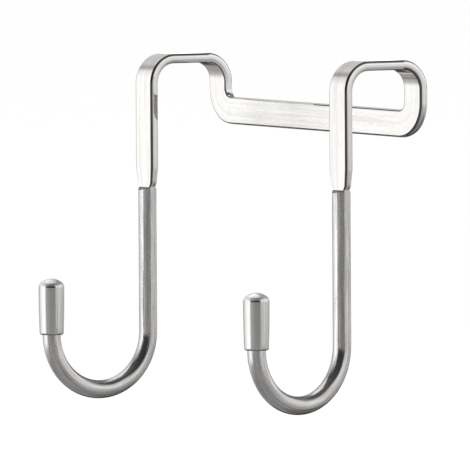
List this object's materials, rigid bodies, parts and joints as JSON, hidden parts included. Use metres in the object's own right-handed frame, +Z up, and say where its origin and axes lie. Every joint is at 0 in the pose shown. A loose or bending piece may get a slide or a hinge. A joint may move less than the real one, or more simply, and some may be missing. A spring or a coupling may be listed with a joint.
{
  "type": "over door hook",
  "caption": "Over door hook bent from steel rod: flat straps pass over the door's top edge, a flat crossbar lies behind it, and round legs in front curl up into capped hooks.",
  "frame": {"origin": "middle of the door's top edge: halfway between the arms, at the height of the straps' undersides, halfway between the front rods and the crossbar", "axes": "+X along the crossbar to the right as seen from the hooks' side, +Y through the door from the hooks to the crossbar, +Z up"},
  "size_m": [0.0988, 0.0608, 0.0935],
  "materials": {
    "frame_steel": "satin drawn finish along the round rod, brighter and smoother on the pressed flats",
    "cap_steel": "polished steel cup"
  },
  "bodies": {
    "root": {"bent_frame": "frame_steel", "left_end_cap": "cap_steel", "right_end_cap": "cap_steel"}
  },
  "joints": []
}
